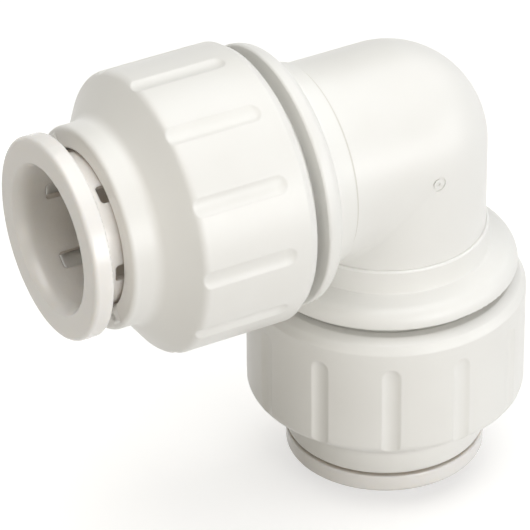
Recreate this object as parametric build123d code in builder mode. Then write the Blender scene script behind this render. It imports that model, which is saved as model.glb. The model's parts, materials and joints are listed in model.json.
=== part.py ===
"""Push-fit 90 degree equal elbow for 15 mm pipe, with a twist-lock screw cap on each port.

Millimetres. The lower port runs along Z and the side port along -X. Their axes cross at CENTRE, and
the origin is the middle of the lower collet's end face, with the collet pushed home.
"""

import os
from dataclasses import dataclass

from build123d import *

os.makedirs("parts", exist_ok=True)

# ---- driving dimensions: radii, and distances along a port from the crossing of the two axes ----

pipe_r = 7.5
pipe_clearance = 0.15

# elbow body
arm_r = 10.96
passage_r = 6.3
pipe_stop = 9.6
collar_start = 10.2
collar_r = 11.32
collar_ledge = 0.07
collar_foot_r = 11.48
flange_back = 12.8
flange_rise = 0.85
flange_face = 15.5
flange_r = 14.6
flange_round = 1.9
flange_edge = 0.25
flange_root = 0.15
spigot_wall = 1.75
spigot_end = 25.6
relief_depth = 1.2
relief_length = 2.3
spigot_lead = 0.6

# O-ring and spacer ring
o_ring_section = 2.4
o_ring_room = 0.03
spacer_bore_r = 7.9
spacer_wall = 1.17
spacer_floor = 1.3
spacer_nose = 1.45

# screw cap
cap_r = 15.58
cap_gap = 1.2
cap_mouth_r = 14.0
bevel_r = 14.95
bevel_start = 0.55
bevel_end = 1.48
bevel_round = 0.2
shoulder = 30.7
shoulder_foot = 33.9
shoulder_round = 1.1
foot_round = 1.3
neck_r = 11.2
neck_end = 36.95
neck_edge = 0.5
hole_edge = 0.12
taper_length = 3.8
flute_count = 12
flute_cutter_r = 1.8
flute_depth = 0.36
flute_start = 19.3
tongue_r = 9.82
tongue_length = 1.64
tongue_width = 1.9
tongue_height = 0.24
tongue_draft = 40
tongue_angle = 42
pip_r = 0.44
pip_depth = 0.4

# collet
collet_travel = 2.05
rim_r = 11.18
rim_thickness = 2.1
rim_gap = 0.3
rim_edge = 0.5
rim_back_edge = 0.15
rim_root = 0.6
sleeve_wall = 0.85
mouth_flare = 0.72
mouth_depth = 1.95
head_height = 1.15
head_land = 2.38
head_lead = 0.4
finger_count = 6
slot_width = 2.0
slot_corner = 0.4
slot_to_rim = 1.6

# steel teeth
tooth_thickness = 0.35
tooth_reach = 0.2
tooth_cover = 0.55
tooth_tip_back = 1.0
tooth_root_back = 2.5
tooth_arc = 30.0

# clearances between pieces
thread_clearance = 0.08
spacer_clearance = 0.08
stop_clearance = 0.05
lock_clearance = 0.05
end_clearance = 0.2
step_clearance = 0.1
seal_clearance = 0.15
sleeve_clearance = 0.3
head_clearance = 0.3
taper_gap = 0.1
collet_end_clearance = 0.5
tooth_clearance = 0.02
pocket_play = 0.2

# moulding mark on the side of the bend
mark_r = 0.85
mark_groove = 0.28
mark_dot_r = 0.2
mark_depth = 0.15

# ---- sizes that follow ----

# radii, from the pipe outward
socket_r = pipe_r + pipe_clearance
seal_r = pipe_r + o_ring_section + o_ring_room
sleeve_r = socket_r + sleeve_wall
head_r = sleeve_r + head_height
neck_hole_r = sleeve_r + sleeve_clearance
cup_inner_r = head_r + head_clearance
taper_mouth_r = cup_inner_r + stop_clearance
cup_outer_r = cup_inner_r + spacer_wall
cup_bore_r = cup_outer_r + spacer_clearance
spigot_r = cup_bore_r + spigot_wall
cap_bore_r = spigot_r + thread_clearance
relief_r = spigot_r - relief_depth

# collet and cap, outward from the neck's end
collet_face = neck_end + rim_gap + rim_thickness
pulled_face = collet_face + collet_travel
finger_pitch = 360 / finger_count

# cap, collet heads, spacer ring and O-ring seat, inward from the spigot's end
lock_travel = cap_gap - lock_clearance
cap_open = flange_face + cap_gap
relief_end = flange_face + relief_length
cap_stop = spigot_end + lock_travel + end_clearance
taper_slope = (taper_mouth_r - neck_hole_r) / taper_length
head_cone_start = cap_stop + (taper_mouth_r - taper_gap - head_r) / taper_slope
head_cone_length = (head_r - sleeve_r) / taper_slope
spacer_end = cap_stop - stop_clearance
spacer_floor_top = head_cone_start - head_land - collet_travel - collet_end_clearance
spacer_cup_floor = spacer_floor_top - spacer_floor
spacer_start = spacer_cup_floor - spacer_nose
spacer_step = spacer_cup_floor - lock_travel - step_clearance
seal_seat = spacer_start - lock_travel - seal_clearance - o_ring_section

CENTRE = Vector(0, 0, collet_face)


@dataclass
class Port:
    """One of the elbow's two ports: where it points, and how its cap and collet are turned and set."""

    name: str
    outward: Vector
    reference: Vector
    flute_angle: float
    slot_angle: float
    collet_pulled: float

    @property
    def axis(self):
        return Axis(CENTRE, self.outward)

    def radial(self, angle):
        return self.reference.rotate(Axis((0, 0, 0), self.outward), angle)

    def section(self, angle=0):
        """Plane through the port's axis: x is the radius, y the distance from the crossing."""
        radial = self.radial(angle)
        return Plane(origin=CENTRE, x_dir=radial, z_dir=radial.cross(self.outward))

    def station(self, distance):
        """Plane square to the port's axis, facing outward."""
        origin = CENTRE + self.outward * distance
        return Plane(origin=origin, x_dir=self.reference, z_dir=self.outward)

    def side_on(self, angle):
        """Plane through the crossing that faces along a radius, with y along the port."""
        radial = self.radial(angle)
        return Plane(origin=CENTRE, x_dir=self.outward.cross(radial), z_dir=radial)


PORTS = (
    Port("lower", Vector(0, 0, -1), Vector(1, 0, 0), -2, 0, 0),
    Port("side", Vector(-1, 0, 0), Vector(0, 0, 1), 0, 25, collet_travel),
)


def corner(sketch, radius, distance):
    """The sketch's corner nearest to a radius and a distance along the port."""
    return sketch.vertices().sort_by_distance((radius, distance, 0))[0]


def tooth_corners(inner_end):
    """A tooth's section: a steel strip raked so that its sharp inner edge leans into the fitting."""
    tip = Vector(socket_r - tooth_reach, inner_end + tooth_tip_back)
    root = Vector(head_r - tooth_cover, inner_end + tooth_root_back)
    along = (root - tip).normalized()
    across = Vector(-along.Y, along.X) * tooth_thickness
    return tip, root, root + across, tip + across + along * tooth_thickness


# ---- elbow body ----

with BuildPart() as elbow_body:
    for port in PORTS:
        with BuildSketch(port.section()) as arm:
            with BuildLine():
                Polyline(
                    (0, 0),
                    (arm_r, 0),
                    (arm_r, collar_start),
                    (collar_r, collar_start + collar_ledge),
                    (collar_foot_r, flange_back),
                    (flange_r, flange_back + flange_rise),
                    (flange_r, flange_face),
                    (relief_r, flange_face),
                    (relief_r, relief_end - relief_depth),
                    (spigot_r, relief_end),
                    (spigot_r, spigot_end),
                    (0, spigot_end),
                    close=True,
                )
            make_face()
            fillet(corner(arm, flange_r, flange_back + flange_rise), flange_round)
            fillet(corner(arm, flange_r, flange_face), flange_edge)
            fillet(corner(arm, collar_foot_r, flange_back), flange_root)
            chamfer(corner(arm, spigot_r, spigot_end), spigot_lead)
        revolve(axis=port.axis)
    with Locations(CENTRE):
        Sphere(arm_r)
    for port in PORTS:
        with BuildSketch(port.section()):
            with BuildLine():
                Polyline(
                    (0, 0),
                    (passage_r, 0),
                    (passage_r, pipe_stop),
                    (socket_r, pipe_stop),
                    (socket_r, seal_seat),
                    (seal_r, seal_seat),
                    (seal_r, spacer_step),
                    (cup_bore_r, spacer_step),
                    (cup_bore_r, spigot_end),
                    (0, spigot_end),
                    close=True,
                )
            make_face()
        revolve(axis=port.axis, mode=Mode.SUBTRACT)
    with Locations(CENTRE):
        Sphere(passage_r, mode=Mode.SUBTRACT)
    with BuildSketch(Plane(origin=CENTRE - Vector(0, arm_r, 0), x_dir=(1, 0, 0), z_dir=(0, -1, 0))):
        Circle(mark_r)
        Circle(mark_r - mark_groove, mode=Mode.SUBTRACT)
        Circle(mark_dot_r)
    extrude(amount=-mark_depth, mode=Mode.SUBTRACT)
elbow_body.part.label = "elbow_body"
export_step(elbow_body.part, "parts/elbow_body.step")


# ---- the four sub-parts of a port, and its teeth ----

for port in PORTS:
    face = collet_face + port.collet_pulled
    cone_start = head_cone_start + face - pulled_face
    inner_end = cone_start - head_land

    # screw cap
    with BuildPart() as cap:
        with BuildSketch(port.section()) as wall:
            with BuildLine():
                Polyline(
                    (cap_bore_r, cap_open),
                    (cap_mouth_r, cap_open),
                    (bevel_r, cap_open + bevel_start),
                    (cap_r, cap_open + bevel_end),
                    (cap_r, shoulder),
                    (neck_r, shoulder_foot),
                    (neck_r, neck_end),
                    (neck_hole_r, neck_end),
                    (neck_hole_r, cap_stop + taper_length),
                    (taper_mouth_r, cap_stop),
                    (cap_bore_r, cap_stop),
                    close=True,
                )
            make_face()
            fillet(corner(wall, bevel_r, cap_open + bevel_start), bevel_round)
            fillet(corner(wall, cap_r, shoulder), shoulder_round)
            fillet(corner(wall, neck_r, shoulder_foot), foot_round)
            fillet(corner(wall, neck_r, neck_end), neck_edge)
            chamfer(corner(wall, neck_hole_r, neck_end), hole_edge)
        revolve(axis=port.axis)
        with Locations(port.station(flute_start + flute_cutter_r)):
            with PolarLocations(cap_r + flute_cutter_r - flute_depth, flute_count, port.flute_angle):
                Sphere(flute_cutter_r, mode=Mode.SUBTRACT)
                Cylinder(
                    flute_cutter_r,
                    neck_end - flute_start,
                    align=(Align.CENTER, Align.CENTER, Align.MIN),
                    mode=Mode.SUBTRACT,
                )
        with BuildSketch(port.station(neck_end)):
            with PolarLocations(tongue_r, 2, tongue_angle):
                Rectangle(tongue_length, tongue_width)
        extrude(amount=tongue_height, taper=tongue_draft)
        with BuildSketch(port.station(neck_end + tongue_height)):
            with PolarLocations(tongue_r, 2, tongue_angle):
                Circle(pip_r)
        extrude(amount=-pip_depth, mode=Mode.SUBTRACT)
    cap.part.label = f"{port.name}_cap"
    export_step(cap.part, f"parts/{port.name}_cap.step")

    # spacer ring: a ring that meets the seal, with a cup that the cap pushes on
    with BuildPart() as spacer:
        with BuildSketch(port.section()):
            with BuildLine():
                Polyline(
                    (spacer_bore_r, spacer_start),
                    (seal_r - spacer_clearance, spacer_start),
                    (seal_r - spacer_clearance, spacer_cup_floor),
                    (cup_outer_r, spacer_cup_floor),
                    (cup_outer_r, spacer_end),
                    (cup_inner_r, spacer_end),
                    (cup_inner_r, spacer_floor_top),
                    (spacer_bore_r, spacer_floor_top),
                    close=True,
                )
            make_face()
        revolve(axis=port.axis)
    spacer.part.label = f"{port.name}_spacer"
    export_step(spacer.part, f"parts/{port.name}_spacer.step")

    # O-ring
    with BuildPart() as o_ring:
        with BuildSketch(port.section()):
            with Locations((pipe_r + o_ring_section / 2, seal_seat + o_ring_section / 2)):
                Circle(o_ring_section / 2)
        revolve(axis=port.axis)
    o_ring.part.label = f"{port.name}_o_ring"
    export_step(o_ring.part, f"parts/{port.name}_o_ring.step")

    # collet: a rimmed sleeve split into fingers, each with a wedge-shaped head
    with BuildPart() as collet:
        with BuildSketch(port.section()) as sleeve:
            with BuildLine():
                outside = Polyline(
                    (socket_r, face - mouth_depth),
                    (socket_r, inner_end),
                    (head_r, inner_end),
                    (head_r, cone_start),
                    (sleeve_r, cone_start + head_cone_length),
                    (sleeve_r, face - rim_thickness),
                    (rim_r, face - rim_thickness),
                    (rim_r, face),
                    (socket_r + mouth_flare, face),
                )
                TangentArc(outside @ 0, outside @ 1, tangent=(0, 1))
            make_face()
            fillet(corner(sleeve, rim_r, face), rim_edge)
            fillet(corner(sleeve, rim_r, face - rim_thickness), rim_back_edge)
            fillet(corner(sleeve, sleeve_r, face - rim_thickness), rim_root)
            chamfer(corner(sleeve, head_r, inner_end), head_lead)
        revolve(axis=port.axis)
        for finger in range(finger_count):
            slot_angle = port.slot_angle + finger * finger_pitch
            tooth_angle = slot_angle + (finger_pitch - tooth_arc) / 2
            slot_end = face - rim_thickness - slot_to_rim
            with BuildSketch(port.side_on(slot_angle)) as slot:
                with Locations((0, slot_end)):
                    Rectangle(slot_width, slot_end, align=(Align.CENTER, Align.MAX))
                fillet(slot.vertices().group_by(Axis.Y)[-1], slot_corner)
            extrude(amount=rim_r, mode=Mode.SUBTRACT)
            with BuildSketch(port.section(tooth_angle - pocket_play)):
                with BuildLine():
                    Polyline(*tooth_corners(inner_end), close=True)
                make_face()
                offset(amount=tooth_clearance)
            revolve(axis=port.axis, revolution_arc=tooth_arc + 2 * pocket_play, mode=Mode.SUBTRACT)
    collet.part.label = f"{port.name}_collet"
    export_step(collet.part, f"parts/{port.name}_collet.step")

    # stainless steel teeth, one in each finger's head
    for finger in range(finger_count):
        tooth_angle = port.slot_angle + finger * finger_pitch + (finger_pitch - tooth_arc) / 2
        with BuildPart() as tooth:
            with BuildSketch(port.section(tooth_angle)):
                with BuildLine():
                    Polyline(*tooth_corners(inner_end), close=True)
                make_face()
            revolve(axis=port.axis, revolution_arc=tooth_arc)
        tooth.part.label = f"{port.name}_tooth_{finger + 1}"
        export_step(tooth.part, f"parts/{port.name}_tooth_{finger + 1}.step")
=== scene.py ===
"""Looks of the push-fit elbow: materials, the soft details of the bend, floor, light and camera.

Metres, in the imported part's frame: +Z up along the lower port, the side port along -X, and the
viewer on the -Y side.
"""

import json
import math

import bmesh
import bpy
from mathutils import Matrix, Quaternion, Vector


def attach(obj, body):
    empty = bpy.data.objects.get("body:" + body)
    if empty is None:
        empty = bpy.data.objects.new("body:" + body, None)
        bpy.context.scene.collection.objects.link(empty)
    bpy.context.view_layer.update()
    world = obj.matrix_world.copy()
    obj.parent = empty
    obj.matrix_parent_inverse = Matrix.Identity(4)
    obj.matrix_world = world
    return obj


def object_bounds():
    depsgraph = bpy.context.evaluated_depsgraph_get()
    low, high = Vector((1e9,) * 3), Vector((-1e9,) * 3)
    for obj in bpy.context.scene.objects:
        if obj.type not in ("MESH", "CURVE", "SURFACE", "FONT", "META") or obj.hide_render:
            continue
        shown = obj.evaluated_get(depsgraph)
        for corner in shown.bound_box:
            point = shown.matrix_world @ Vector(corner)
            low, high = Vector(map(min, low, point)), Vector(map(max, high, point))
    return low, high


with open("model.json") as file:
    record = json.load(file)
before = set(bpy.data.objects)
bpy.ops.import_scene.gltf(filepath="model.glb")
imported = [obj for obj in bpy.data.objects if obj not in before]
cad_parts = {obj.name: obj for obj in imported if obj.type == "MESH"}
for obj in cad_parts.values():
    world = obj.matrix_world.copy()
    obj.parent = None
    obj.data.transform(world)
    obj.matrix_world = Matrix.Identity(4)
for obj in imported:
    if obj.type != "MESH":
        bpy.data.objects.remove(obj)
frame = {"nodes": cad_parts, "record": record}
cad_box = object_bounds()

MM = 0.001
WHITE = (1, 1, 1)

# camera: where it looks from, the point it looks at as seen from the CAD box's middle, and its lens
CAMERA_AZIMUTH = math.radians(-28.86)
CAMERA_ELEVATION = math.radians(32.76)
CAMERA_ROLL = math.radians(-0.49)
CAMERA_DISTANCE = 478.5 * MM
CAMERA_AIM = Vector((-2.97, -1.03, 1.17)) * MM
CAMERA_CLIP = (0.01, 20)
LENS_MM = 299.3
SENSOR_MM = 36.0

# the bend: where the two axes cross, and the radius of the arms
CROSSING = Vector((0, 0, 39.35)) * MM
ARM_R = 10.96 * MM

# the crease inside the bend: its radius, how far its back is sunk, how far it reaches to each side,
# its steps along and across, and the angle from which an edge of it is sharp
CREASE_R = 1.0 * MM
CREASE_SINK = 0.5 * MM
CREASE_REACH = math.radians(86)
CREASE_STEPS = (64, 10)
CREASE_SHARP = math.radians(35)

# the ring where each collar starts: way out of the port, distance from the crossing, radius of its
# middle, radius of its round, and look. A proud bead below, tinted lighter as a painted highlight,
# and a thin ring at the side, tinted dark as a painted shadow line
COLLAR_RINGS = {
    "lower_collar_lip": ((0, 0, -1), 10.22 * MM, 11.12 * MM, 0.21 * MM, "lip_painted_highlight"),
    "side_collar_painted_shadow_line": ((-1, 0, 0), 10.08 * MM, 10.85 * MM, 0.2 * MM, "painted_shadow_line"),
}
RING_STEPS = (160, 16)

# the values that a noise mostly stays between
NOISE_SPAN = (0.3, 0.7)

# plastic: scale of its cloudy flow and of its fine mottle, in features per metre, where the flow
# runs from shade to light, how much deeper it is than the mottle, and how light scatters inside
FLOW_SCALE = 85
MOTTLE_SCALE = 420
FLOW_STOPS = (0.3, 0.62)
FLOW_DEPTH = 3
SCATTER_RADIUS = (1.0, 0.9, 0.75)
SCATTER_SCALE = 1.2 * MM
EDGE_SAMPLES = 6
# ambient-occlusion samples for the painted shade in the collets' hollows
PAINTED_SHADE_SAMPLES = 8

# looks of the moulded pieces: (name, light tint, shade tint, lowest and highest roughness, depth of
# the unevenness), then what only some of them have
BODY_TINT = ((0.878, 0.872, 0.845), (0.855, 0.846, 0.815))
BODY_GLOSS = ((0.29, 0.37), 0.003 * MM)
PLASTICS = {
    "white_plastic": (("elbow", *BODY_TINT, *BODY_GLOSS), {"edge": 0.08 * MM}),
    "crease": (("crease", *BODY_TINT, *BODY_GLOSS), {}),
    # the lower collar's bead: tinted lighter than the body, a painted highlight
    "lip_painted_highlight": (("lip_painted_highlight", (0.94, 0.935, 0.915), (0.93, 0.925, 0.9), *BODY_GLOSS), {}),
    # the side collar's thin ring: tinted dark, a painted shadow line
    "painted_shadow_line": (("painted_shadow_line", (0.74, 0.72, 0.67), (0.7, 0.68, 0.63), *BODY_GLOSS), {}),
    "cap": (("cap", (0.88, 0.873, 0.845), (0.858, 0.848, 0.817), *BODY_GLOSS),
            {"edge": 0.35 * MM}),
    # the collets turn brown in their bore and narrow gaps: painted shade, by ambient occlusion
    "collet_plastic": (
        ("collet", (0.905, 0.884, 0.858), (0.888, 0.864, 0.835), (0.19, 0.25), 0.002 * MM),
        {"edge": 0.3 * MM, "scatter": 0.3, "ior": 1.6,
         "painted_shade": ((0.64, 0.56, 0.49), 20 * MM, 0.05, 0.4)},
    ),
    "spacer_plastic": (
        ("spacer", (0.8, 0.8, 0.79), (0.76, 0.76, 0.75), (0.45, 0.6), 0.01 * MM), {}),
}

# rubber: scale, detail and tints of its bloom, scale and depth of its pores, and its roughness
BLOOM_SCALE = 500
BLOOM_DETAIL = 4
BLOOM_TINTS = ((0.35, (0.016, 0.016, 0.017)), (0.7, (0.045, 0.045, 0.047)))
PORE_SCALE = 4000
PORE_DEPTH = 0.02 * MM
RUBBER_ROUGHNESS = (0.55, 0.8)

# steel: scale, detail, stretch, tints and depth of its rolling lines, and its roughness
LINE_SCALE = 900
LINE_DETAIL = 4
LINE_STRETCH = (1, 1, 9)
LINE_TINTS = ((0.3, (0.5, 0.5, 0.49)), (0.7, (0.68, 0.67, 0.65)))
LINE_DEPTH = 0.008 * MM
STEEL_ROUGHNESS = (0.22, 0.42)

# light: a rectangular softbox overhead, and disc softboxes as (azimuth, elevation, watts, tint)
KEY_SIZE = (0.746, 0.668)
KEY_PLACE = Vector((-0.114, -0.123, 0.834))
KEY_WATTS = 2.69
FILL_SIZE = 0.5
FILL_DISTANCE = 0.8
FILLS = {
    "front": (10, 10, 2.83, WHITE),
    "front_right": (50, 10, 1.4, (0.99, 1, 1)),
    "left_low": (290, 10, 0.52, (1, 0.93, 0.77)),
    "front_left": (330, 10, 0.6, (1, 0.965, 0.88)),
    "right": (110, 38, 0.6, (1, 0.985, 0.975)),
    "back_right": (155, 38, 0.13, (1, 0.95, 0.6)),
    "left": (290, 38, 0.15, (1, 0.87, 0.6)),
    "top_right": (72, 64, 0.45, (0.91, 0.955, 1)),
    "top_back": (144, 64, 0.98, (0.98, 1, 1)),
    "top_far": (216, 64, 0.57, (1, 0.96, 0.88)),
    "top_left": (288, 64, 0.57, (1, 0.98, 0.94)),
}
ROOM_LIGHT = (1.0, 0.9, 0.65)
ROOM_STRENGTH = 0.017

# floor: how far it lies below the part, so that the lower collet can slide out, its colour and
# roughness, and the glow that the viewer sees added to it
FLOOR_SIZE = 4.0
FLOOR_DROP = 2.1 * MM
FLOOR_COLOUR = (0.6, 0.59, 0.575)
FLOOR_ROUGHNESS = 0.9
FLOOR_GLOW = 0.62


# ---- node helpers ----

def new_material(name):
    """A node material, with its tree and its surface shader."""
    material = bpy.data.materials.new(name)
    material.use_nodes = True
    tree = material.node_tree
    return material, tree, tree.nodes["Principled BSDF"]


def noise(tree, scale, detail=2, stretch=(1, 1, 1)):
    """The value of a noise in the object's own space, with its scale in features per metre."""
    place = tree.nodes.new("ShaderNodeTexCoord")
    mapping = tree.nodes.new("ShaderNodeMapping")
    mapping.inputs["Scale"].default_value = stretch
    texture = tree.nodes.new("ShaderNodeTexNoise")
    texture.inputs["Scale"].default_value = scale
    texture.inputs["Detail"].default_value = detail
    tree.links.new(place.outputs["Object"], mapping.inputs["Vector"])
    tree.links.new(mapping.outputs["Vector"], texture.inputs["Vector"])
    return texture.outputs["Fac"]


def ramp(tree, value, stops):
    """A colour that changes with a value, as two (position, colour) stops."""
    node = tree.nodes.new("ShaderNodeValToRGB")
    for element, (position, colour) in zip(node.color_ramp.elements, stops):
        element.position = position
        element.color = (*colour, 1)
    tree.links.new(value, node.inputs["Fac"])
    return node.outputs["Color"]


def spread(tree, value, low, high):
    """A noise's value stretched from its usual span onto a range."""
    node = tree.nodes.new("ShaderNodeMapRange")
    node.inputs["From Min"].default_value = NOISE_SPAN[0]
    node.inputs["From Max"].default_value = NOISE_SPAN[1]
    node.inputs["To Min"].default_value = low
    node.inputs["To Max"].default_value = high
    tree.links.new(value, node.inputs["Value"])
    return node.outputs["Result"]


def paint_hollow_shade(tree, colour, painted_shade, reach, closed, open_to):
    """A colour that darkens to a painted shade deep inside a hole or a narrow gap.

    Only what lies within reach closes the view. Below the first share of open view it is all
    painted shade, and above the second there is none.
    """
    view = tree.nodes.new("ShaderNodeAmbientOcclusion")
    view.samples = PAINTED_SHADE_SAMPLES
    view.inputs["Distance"].default_value = reach
    unshaded = tree.nodes.new("ShaderNodeMapRange")
    unshaded.inputs["From Min"].default_value = closed
    unshaded.inputs["From Max"].default_value = open_to
    tree.links.new(view.outputs["AO"], unshaded.inputs["Value"])
    mix = tree.nodes.new("ShaderNodeMix")
    mix.data_type = "RGBA"
    inputs = {socket.identifier: socket for socket in mix.inputs}
    outputs = {socket.identifier: socket for socket in mix.outputs}
    inputs["A_Color"].default_value = (*painted_shade, 1)
    tree.links.new(unshaded.outputs["Result"], inputs["Factor_Float"])
    tree.links.new(colour, inputs["B_Color"])
    return outputs["Result_Color"]


def bumps(tree, shader, layers, edge=None):
    """Bump the surface with (height value, depth in metres) layers, over softened edges if any."""
    normal = None
    if edge:
        soft = tree.nodes.new("ShaderNodeBevel")
        soft.samples = EDGE_SAMPLES
        soft.inputs["Radius"].default_value = edge
        normal = soft.outputs["Normal"]
    for height, depth in layers:
        node = tree.nodes.new("ShaderNodeBump")
        node.inputs["Distance"].default_value = depth
        tree.links.new(height, node.inputs["Height"])
        if normal:
            tree.links.new(normal, node.inputs["Normal"])
        normal = node.outputs["Normal"]
    tree.links.new(normal, shader.inputs["Normal"])


# ---- materials ----

def moulded_plastic(name, light, shade, roughness, depth, edge=None, scatter=0.0, ior=1.5,
                    painted_shade=None):
    """Injection-moulded plastic: faint cloudy tint, uneven gloss and slight waviness."""
    material, tree, shader = new_material(name)
    flow = noise(tree, FLOW_SCALE)
    mottle = noise(tree, MOTTLE_SCALE)
    tint = ramp(tree, flow, zip(FLOW_STOPS, (shade, light)))
    # painted shade: in hollows and narrow gaps the colour turns darker, by ambient occlusion
    if painted_shade:
        tint = paint_hollow_shade(tree, tint, *painted_shade)
    tree.links.new(tint, shader.inputs["Base Color"])
    tree.links.new(spread(tree, mottle, *roughness), shader.inputs["Roughness"])
    bumps(tree, shader, [(flow, depth * FLOW_DEPTH), (mottle, depth)], edge)
    shader.inputs["IOR"].default_value = ior
    if scatter:
        shader.inputs["Subsurface Weight"].default_value = scatter
        shader.inputs["Subsurface Radius"].default_value = SCATTER_RADIUS
        shader.inputs["Subsurface Scale"].default_value = SCATTER_SCALE
    return material


def rubber():
    """Nitrile rubber with a matt, faintly speckled skin."""
    material, tree, shader = new_material("seal_rubber")
    bloom = noise(tree, BLOOM_SCALE, BLOOM_DETAIL)
    pores = noise(tree, PORE_SCALE)
    tree.links.new(ramp(tree, bloom, BLOOM_TINTS), shader.inputs["Base Color"])
    tree.links.new(spread(tree, bloom, *RUBBER_ROUGHNESS), shader.inputs["Roughness"])
    bumps(tree, shader, [(pores, PORE_DEPTH)])
    return material


def rolled_steel():
    """Stainless strip with the fine lines that rolling leaves along it."""
    material, tree, shader = new_material("tooth_steel")
    lines = noise(tree, LINE_SCALE, LINE_DETAIL, LINE_STRETCH)
    tree.links.new(ramp(tree, lines, LINE_TINTS), shader.inputs["Base Color"])
    tree.links.new(spread(tree, lines, *STEEL_ROUGHNESS), shader.inputs["Roughness"])
    shader.inputs["Metallic"].default_value = 1.0
    bumps(tree, shader, [(lines, LINE_DEPTH)])
    return material


def make_materials():
    """Every look by its key, which is the record's slot where a whole slot wears it."""
    looks = {key: moulded_plastic(*look, **extras) for key, (look, extras) in PLASTICS.items()}
    looks["seal_rubber"] = rubber()
    looks["tooth_steel"] = rolled_steel()
    return looks


def dress(materials):
    """Give each CAD node the look of its slot; the caps, softer at their edges, have their own."""
    for piece in frame["record"]["subparts"]:
        mesh = frame["nodes"][piece["node"]].data
        mesh.materials.clear()
        look = "cap" if piece["node"].endswith("_cap") else piece["material_slot"]
        mesh.materials.append(materials[look])


# ---- the soft details of the bend ----

def make_crease(material):
    """The rounded crease where the two arms meet, deepest at the inside of the bend.

    Across the crease it is a quarter round that meets both arms smoothly. Its radius falls away to
    nothing at the sides of the bend, and its back is sunk in the elbow.
    """
    mesh = bmesh.new()
    along, across = CREASE_STEPS
    rows = []
    for i in range(along + 1):
        turn = CREASE_REACH * (2 * i / along - 1)
        deep = math.cos(turn)
        row = []
        for j in range(across + 1):
            angle = math.pi / 2 * j / across
            x = -deep * (ARM_R + CREASE_R * (1 - math.cos(angle)))
            z = -deep * (ARM_R + CREASE_R * (1 - math.sin(angle)))
            row.append(mesh.verts.new(CROSSING + Vector((x, ARM_R * math.sin(turn), z))))
        corner = -deep * ARM_R + CREASE_SINK
        row.append(mesh.verts.new(CROSSING + Vector((corner, ARM_R * math.sin(turn), corner))))
        rows.append(row)
    for first, second in zip(rows, rows[1:]):
        for j in range(len(first)):
            k = (j + 1) % len(first)
            mesh.faces.new((first[j], first[k], second[k], second[j]))
    mesh.faces.new(rows[0][::-1])
    mesh.faces.new(rows[-1])
    bmesh.ops.recalc_face_normals(mesh, faces=mesh.faces)
    for face in mesh.faces:
        face.smooth = True
    data = bpy.data.meshes.new("bend_crease")
    mesh.to_mesh(data)
    mesh.free()
    data.set_sharp_from_angle(angle=CREASE_SHARP)
    data.materials.append(material)
    crease = bpy.data.objects.new("bend_crease", data)
    bpy.context.scene.collection.objects.link(crease)
    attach(crease, "elbow")


def make_collar_rings(materials):
    """The thin rounded ring where each collar starts, half sunk in the elbow."""
    # the lower ring's lighter tint is a painted highlight, the side ring's dark tint a painted
    # shadow line
    for name, (out, start, ring, radius, look) in COLLAR_RINGS.items():
        bpy.ops.mesh.primitive_torus_add(
            major_radius=ring, minor_radius=radius, major_segments=RING_STEPS[0],
            minor_segments=RING_STEPS[1], location=CROSSING + Vector(out) * start)
        piece = bpy.context.object
        piece.name = name
        piece.rotation_mode = "QUATERNION"
        piece.rotation_quaternion = Vector(out).to_track_quat("Z", "Y")
        piece.data.shade_smooth()
        piece.data.materials.append(materials[look])
        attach(piece, "elbow")


# ---- floor, light and camera ----

def seen(tree):
    """1 for rays that show the background: to the viewer, in a gloss, or through something."""
    path = tree.nodes.new("ShaderNodeLightPath")
    value = path.outputs["Is Camera Ray"]
    for other in ("Is Glossy Ray", "Is Transmission Ray"):
        either = tree.nodes.new("ShaderNodeMath")
        either.operation = "MAXIMUM"
        tree.links.new(value, either.inputs[0])
        tree.links.new(path.outputs[other], either.inputs[1])
        value = either.outputs[0]
    return value


def scaled(tree, value, factor):
    """A value times a factor."""
    node = tree.nodes.new("ShaderNodeMath")
    node.operation = "MULTIPLY"
    node.inputs[1].default_value = factor
    tree.links.new(value, node.inputs[0])
    return node.outputs[0]


def make_floor():
    """A pale floor under the part that looks white where it is lit and keeps the shadow."""
    low, high = cad_box
    level = low.z - FLOOR_DROP
    bpy.ops.mesh.primitive_plane_add(size=FLOOR_SIZE, location=((low.x + high.x) / 2, 0, level))
    floor = bpy.context.object
    floor.name = "floor"
    material, tree, shader = new_material("floor")
    shader.inputs["Base Color"].default_value = (*FLOOR_COLOUR, 1)
    shader.inputs["Roughness"].default_value = FLOOR_ROUGHNESS
    shader.inputs["Specular IOR Level"].default_value = 0.0
    glow = tree.nodes.new("ShaderNodeEmission")
    both = tree.nodes.new("ShaderNodeAddShader")
    tree.links.new(scaled(tree, seen(tree), FLOOR_GLOW), glow.inputs["Strength"])
    tree.links.new(shader.outputs[0], both.inputs[0])
    tree.links.new(glow.outputs[0], both.inputs[1])
    tree.links.new(both.outputs[0], tree.nodes["Material Output"].inputs["Surface"])
    floor.data.materials.append(material)


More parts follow.
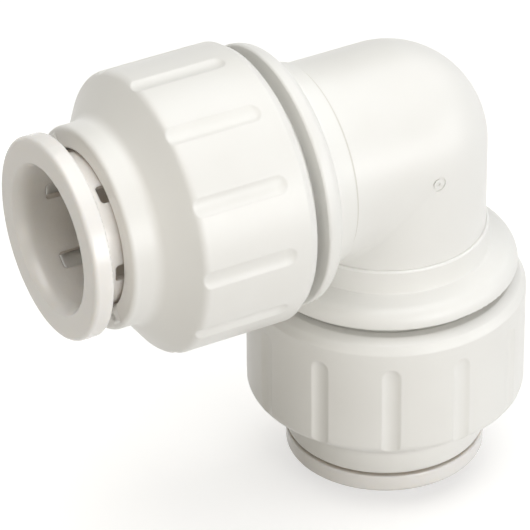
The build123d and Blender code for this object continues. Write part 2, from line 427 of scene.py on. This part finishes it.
def make_world():
    """White to the viewer, and only a little warm light on the object."""
    world = bpy.data.worlds.new("room")
    bpy.context.scene.world = world
    world.use_nodes = True
    tree = world.node_tree
    back = tree.nodes["Background"]
    back.inputs["Color"].default_value = (*WHITE, 1)
    back.inputs["Strength"].default_value = 1.0
    room = tree.nodes.new("ShaderNodeBackground")
    room.inputs["Color"].default_value = (*ROOM_LIGHT, 1)
    room.inputs["Strength"].default_value = ROOM_STRENGTH
    mix = tree.nodes.new("ShaderNodeMixShader")
    tree.links.new(seen(tree), mix.inputs[0])
    tree.links.new(room.outputs[0], mix.inputs[1])
    tree.links.new(back.outputs[0], mix.inputs[2])
    tree.links.new(mix.outputs[0], tree.nodes["World Output"].inputs["Surface"])


def look_from(azimuth, elevation):
    """Unit vector from the object towards a viewer; azimuth 0 is on the -Y side."""
    level = math.cos(elevation)
    return Vector((math.sin(azimuth) * level, -math.cos(azimuth) * level, math.sin(elevation)))


def add_lamp(name, shape, watts, tint, place, facing):
    """An area lamp at a place, facing along a direction."""
    lamp = bpy.data.lights.new(name, "AREA")
    lamp.shape = shape
    lamp.energy = watts
    lamp.color = tint
    box = bpy.data.objects.new(name, lamp)
    bpy.context.scene.collection.objects.link(box)
    box.location = place
    box.rotation_mode = "QUATERNION"
    box.rotation_quaternion = facing.to_track_quat("-Z", "Y")
    return lamp


def make_lights():
    """The overhead softbox, and the disc softboxes that all face the object's middle."""
    key = add_lamp("key", "RECTANGLE", KEY_WATTS, WHITE, KEY_PLACE, Vector((0, 0, -1)))
    key.size, key.size_y = KEY_SIZE
    middle = (cad_box[0] + cad_box[1]) / 2
    for name, (azimuth, elevation, watts, tint) in FILLS.items():
        direction = look_from(math.radians(azimuth), math.radians(elevation))
        place = middle + direction * FILL_DISTANCE
        add_lamp(name, "DISK", watts, tint, place, -direction).size = FILL_SIZE


def make_camera():
    """The camera, aimed near the middle of the CAD box."""
    data = bpy.data.cameras.new("camera")
    data.lens = LENS_MM
    data.sensor_width = SENSOR_MM
    data.clip_start, data.clip_end = CAMERA_CLIP
    camera = bpy.data.objects.new("camera", data)
    bpy.context.scene.collection.objects.link(camera)
    back = look_from(CAMERA_AZIMUTH, CAMERA_ELEVATION)
    camera.location = (cad_box[0] + cad_box[1]) / 2 + CAMERA_AIM + back * CAMERA_DISTANCE
    camera.rotation_mode = "QUATERNION"
    camera.rotation_quaternion = Quaternion(back, CAMERA_ROLL) @ (-back).to_track_quat("-Z", "Y")
    bpy.context.scene.camera = camera


materials = make_materials()
dress(materials)
make_crease(materials["crease"])
make_collar_rings(materials)
make_floor()
make_world()
make_lights()
make_camera()
bpy.context.scene.view_settings.view_transform = "Standard"
